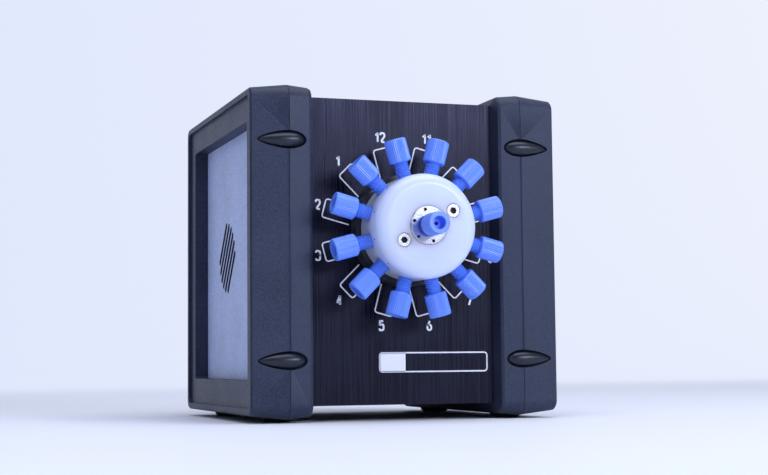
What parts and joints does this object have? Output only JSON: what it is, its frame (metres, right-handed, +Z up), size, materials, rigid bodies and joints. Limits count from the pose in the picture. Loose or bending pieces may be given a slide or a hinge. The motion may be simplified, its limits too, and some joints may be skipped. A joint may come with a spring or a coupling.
{
  "type": "microfluidic distribution valve",
  "caption": "Bench-top rotary distribution valve: a round valve head with radial tube fittings on the front of a motor drive in a square casing with bumper side frames.",
  "frame": {"origin": "on the surface it stands on, at the middle of its width and of its whole depth", "axes": "+Z up, +X to the right seen from the front, +Y from the front panel to the rear"},
  "size_m": [0.1382, 0.1724, 0.1424],
  "materials": {
    "adapter_black": "black anodised",
    "anodised_black": "brushed, black anodised",
    "bearing_steel": "ground",
    "board_green": "solder mask",
    "cover_black": "fine texture powder coat",
    "disc_black": "matte",
    "ferrule_white": "natural",
    "fitting_blue": "moulded, fine knurl on the head",
    "frame_plastic": "fine pebbled black moulding",
    "lead_jacket": "matte",
    "motor_black": "satin",
    "plain_aluminium": "machined",
    "plug_plastic": "smooth satin black",
    "post_nylon": "natural nylon",
    "rubber": "matte",
    "screw_steel": "stainless",
    "seal_polymer": "filled sealing polymer",
    "sensor_plastic": "matte",
    "side_panel_grey": "fine textured grey",
    "socket_black": "matte",
    "socket_metal": "tinned",
    "spring_steel": "hardened strip",
    "steel": "turned",
    "switch_black": "gloss",
    "valve_polymer": "translucent white, turned and polished"
  },
  "bodies": {
    "root": {"board_posts": "post_nylon", "bottom_cover": "cover_black", "control_board": "board_green", "frame_screws": "screw_steel", "front_panel": "anodised_black", "left_frame_plugs": "plug_plastic", "left_side_frame": "frame_plastic", "left_side_panel": "side_panel_grey", "motor_body": "motor_black", "motor_lead": "lead_jacket", "motor_standoffs": "plain_aluminium", "port_insert": "steel", "position_sensor": "sensor_plastic", "power_socket": "socket_black", "rear_panel": "cover_black", "right_frame_plugs": "plug_plastic", "right_side_frame": "frame_plastic", "right_side_panel": "side_panel_grey", "rubber_feet": "rubber", "shaft_bearings": "bearing_steel", "switch_body": "switch_black", "tie_bars": "plain_aluminium", "top_cover": "cover_black", "usb_socket": "socket_metal", "valve_adapter": "adapter_black", "valve_body": "valve_polymer", "valve_screws": "screw_steel"},
    "rotor": {"rotor_seal": "seal_polymer", "drive_shaft": "steel", "spring_washers": "spring_steel", "shaft_coupling": "plain_aluminium", "position_disc": "disc_black", "motor_shaft": "steel"},
    "switch_rocker": {"power_switch": "switch_black"},
    "port_1_ferrule": {"port_1_ferrule": "ferrule_white"},
    "port_1_nut": {"port_1_nut": "fitting_blue"},
    "port_2_ferrule": {"port_2_ferrule": "ferrule_white"},
    "port_2_nut": {"port_2_nut": "fitting_blue"},
    "port_3_ferrule": {"port_3_ferrule": "ferrule_white"},
    "port_3_nut": {"port_3_nut": "fitting_blue"},
    "port_4_ferrule": {"port_4_ferrule": "ferrule_white"},
    "port_4_nut": {"port_4_nut": "fitting_blue"},
    "port_5_ferrule": {"port_5_ferrule": "ferrule_white"},
    "port_5_nut": {"port_5_nut": "fitting_blue"},
    "port_6_ferrule": {"port_6_ferrule": "ferrule_white"},
    "port_6_nut": {"port_6_nut": "fitting_blue"},
    "port_7_ferrule": {"port_7_ferrule": "ferrule_white"},
    "port_7_nut": {"port_7_nut": "fitting_blue"},
    "port_8_ferrule": {"port_8_ferrule": "ferrule_white"},
    "port_8_nut": {"port_8_nut": "fitting_blue"},
    "port_9_ferrule": {"port_9_ferrule": "ferrule_white"},
    "port_9_nut": {"port_9_nut": "fitting_blue"},
    "port_10_ferrule": {"port_10_ferrule": "ferrule_white"},
    "port_10_nut": {"port_10_nut": "fitting_blue"},
    "port_11_ferrule": {"port_11_ferrule": "ferrule_white"},
    "port_11_nut": {"port_11_nut": "fitting_blue"},
    "port_12_ferrule": {"port_12_ferrule": "ferrule_white"},
    "port_12_nut": {"port_12_nut": "fitting_blue"},
    "common_port_ferrule": {"common_port_ferrule": "ferrule_white"},
    "common_port_nut": {"common_port_nut": "fitting_blue"}
  },
  "joints": [
    {"name": "rotor_turn", "type": "hinge", "parent": "root", "child": "rotor", "pos_m": [0, -0.0419, 0.0811], "axis": [0, 1, 0], "continuous": true},
    {"name": "power_switch_rock", "type": "hinge", "parent": "root", "child": "switch_rocker", "pos_m": [0.024, 0.0756, 0.0818], "axis": [1, 0, 0], "range_deg": [0, 18]},
    {"name": "port_1_travel", "type": "slide", "parent": "root", "child": "port_1_ferrule", "axis": [-0.7071, 0, 0.7071], "range_m": [0, 0.00363]},
    {"name": "port_1_turn", "type": "hinge", "parent": "port_1_ferrule", "child": "port_1_nut", "pos_m": [-0.01032, -0.0599, 0.09142], "axis": [-0.7071, 0, 0.7071], "range_deg": [0, 1440]},
    {"name": "port_2_travel", "type": "slide", "parent": "root", "child": "port_2_ferrule", "axis": [-0.9659, 0, 0.2588], "range_m": [0, 0.00363]},
    {"name": "port_2_turn", "type": "hinge", "parent": "port_2_ferrule", "child": "port_2_nut", "pos_m": [-0.0141, -0.0599, 0.08488], "axis": [-0.9659, 0, 0.2588], "range_deg": [0, 1440]},
    {"name": "port_3_travel", "type": "slide", "parent": "root", "child": "port_3_ferrule", "axis": [-0.9659, 0, -0.2588], "range_m": [0, 0.00363]},
    {"name": "port_3_turn", "type": "hinge", "parent": "port_3_ferrule", "child": "port_3_nut", "pos_m": [-0.0141, -0.0599, 0.07732], "axis": [-0.9659, 0, -0.2588], "range_deg": [0, 1440]},
    {"name": "port_4_travel", "type": "slide", "parent": "root", "child": "port_4_ferrule", "axis": [-0.7071, 0, -0.7071], "range_m": [0, 0.00363]},
    {"name": "port_4_turn", "type": "hinge", "parent": "port_4_ferrule", "child": "port_4_nut", "pos_m": [-0.01032, -0.0599, 0.07078], "axis": [-0.7071, 0, -0.7071], "range_deg": [0, 1440]},
    {"name": "port_5_travel", "type": "slide", "parent": "root", "child": "port_5_ferrule", "axis": [-0.2588, 0, -0.9659], "range_m": [0, 0.00363]},
    {"name": "port_5_turn", "type": "hinge", "parent": "port_5_ferrule", "child": "port_5_nut", "pos_m": [-0.00378, -0.0599, 0.067], "axis": [-0.2588, 0, -0.9659], "range_deg": [0, 1440]},
    {"name": "port_6_travel", "type": "slide", "parent": "root", "child": "port_6_ferrule", "axis": [0.2588, 0, -0.9659], "range_m": [0, 0.00363]},
    {"name": "port_6_turn", "type": "hinge", "parent": "port_6_ferrule", "child": "port_6_nut", "pos_m": [0.00378, -0.0599, 0.067], "axis": [0.2588, 0, -0.9659], "range_deg": [0, 1440]},
    {"name": "port_7_travel", "type": "slide", "parent": "root", "child": "port_7_ferrule", "axis": [0.7071, 0, -0.7071], "range_m": [0, 0.00363]},
    {"name": "port_7_turn", "type": "hinge", "parent": "port_7_ferrule", "child": "port_7_nut", "pos_m": [0.01032, -0.0599, 0.07078], "axis": [0.7071, 0, -0.7071], "range_deg": [0, 1440]},
    {"name": "port_8_travel", "type": "slide", "parent": "root", "child": "port_8_ferrule", "axis": [0.9659, 0, -0.2588], "range_m": [0, 0.00363]},
    {"name": "port_8_turn", "type": "hinge", "parent": "port_8_ferrule", "child": "port_8_nut", "pos_m": [0.0141, -0.0599, 0.07732], "axis": [0.9659, 0, -0.2588], "range_deg": [0, 1440]},
    {"name": "port_9_travel", "type": "slide", "parent": "root", "child": "port_9_ferrule", "axis": [0.9659, 0, 0.2588], "range_m": [0, 0.00363]},
    {"name": "port_9_turn", "type": "hinge", "parent": "port_9_ferrule", "child": "port_9_nut", "pos_m": [0.0141, -0.0599, 0.08488], "axis": [0.9659, 0, 0.2588], "range_deg": [0, 1440]},
    {"name": "port_10_travel", "type": "slide", "parent": "root", "child": "port_10_ferrule", "axis": [0.7071, 0, 0.7071], "range_m": [0, 0.00363]},
    {"name": "port_10_turn", "type": "hinge", "parent": "port_10_ferrule", "child": "port_10_nut", "pos_m": [0.01032, -0.0599, 0.09142], "axis": [0.7071, 0, 0.7071], "range_deg": [0, 1440]},
    {"name": "port_11_travel", "type": "slide", "parent": "root", "child": "port_11_ferrule", "axis": [0.2588, 0, 0.9659], "range_m": [0, 0.00363]},
    {"name": "port_11_turn", "type": "hinge", "parent": "port_11_ferrule", "child": "port_11_nut", "pos_m": [0.00378, -0.0599, 0.0952], "axis": [0.2588, 0, 0.9659], "range_deg": [0, 1440]},
    {"name": "port_12_travel", "type": "slide", "parent": "root", "child": "port_12_ferrule", "axis": [-0.2588, 0, 0.9659], "range_m": [0, 0.00363]},
    {"name": "port_12_turn", "type": "hinge", "parent": "port_12_ferrule", "child": "port_12_nut", "pos_m": [-0.00378, -0.0599, 0.0952], "axis": [-0.2588, 0, 0.9659], "range_deg": [0, 1440]},
    {"name": "common_port_travel", "type": "slide", "parent": "root", "child": "common_port_ferrule", "axis": [0, -1, 0], "range_m": [0, 0.00363]},
    {"name": "common_port_turn", "type": "hinge", "parent": "common_port_ferrule", "child": "common_port_nut", "pos_m": [0, -0.0624, 0.0811], "axis": [0, -1, 0], "range_deg": [0, 1440]}
  ],
  "couplings": [
    {"joint": "port_1_turn", "follows": "port_1_travel", "rad_per_m": 6926.3},
    {"joint": "port_2_turn", "follows": "port_2_travel", "rad_per_m": 6926.3},
    {"joint": "port_3_turn", "follows": "port_3_travel", "rad_per_m": 6926.3},
    {"joint": "port_4_turn", "follows": "port_4_travel", "rad_per_m": 6926.3},
    {"joint": "port_5_turn", "follows": "port_5_travel", "rad_per_m": 6926.3},
    {"joint": "port_6_turn", "follows": "port_6_travel", "rad_per_m": 6926.3},
    {"joint": "port_7_turn", "follows": "port_7_travel", "rad_per_m": 6926.3},
    {"joint": "port_8_turn", "follows": "port_8_travel", "rad_per_m": 6926.3},
    {"joint": "port_9_turn", "follows": "port_9_travel", "rad_per_m": 6926.3},
    {"joint": "port_10_turn", "follows": "port_10_travel", "rad_per_m": 6926.3},
    {"joint": "port_11_turn", "follows": "port_11_travel", "rad_per_m": 6926.3},
    {"joint": "port_12_turn", "follows": "port_12_travel", "rad_per_m": 6926.3},
    {"joint": "common_port_turn", "follows": "common_port_travel", "rad_per_m": 6926.3}
  ]
}
